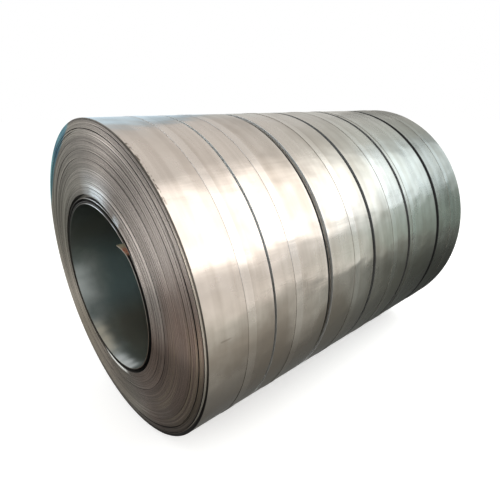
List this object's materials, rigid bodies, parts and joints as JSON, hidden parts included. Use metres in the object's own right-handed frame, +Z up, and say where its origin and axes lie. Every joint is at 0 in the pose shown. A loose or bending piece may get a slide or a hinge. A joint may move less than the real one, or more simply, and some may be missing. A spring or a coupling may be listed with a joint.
{
  "type": "slit steel coil set",
  "caption": "Bright steel coil slit into narrow coils that lie side by side on one level axis, each strapped, with an open bore.",
  "frame": {"origin": "on the floor, under the middle of the set", "axes": "+X along the coil axis, from the telescoped end to the plain end; +Z up"},
  "size_m": [1.672, 1.1808, 1.1808],
  "materials": {
    "coil_steel": "cold-rolled, lightly oiled satin",
    "strap_steel": "bright rolled strapping",
    "seal_steel": "plain pressed sheet"
  },
  "bodies": {
    "root": {"coil_1": "coil_steel", "strap_1": "strap_steel", "strap_seal_1": "seal_steel", "coil_2": "coil_steel", "strap_2": "strap_steel", "strap_seal_2": "seal_steel", "coil_3": "coil_steel", "strap_3": "strap_steel", "strap_seal_3": "seal_steel", "coil_4": "coil_steel", "strap_4": "strap_steel", "strap_seal_4": "seal_steel", "coil_5": "coil_steel", "strap_5": "strap_steel", "strap_seal_5": "seal_steel", "coil_6": "coil_steel", "strap_6": "strap_steel", "strap_seal_6": "seal_steel"}
  },
  "joints": []
}
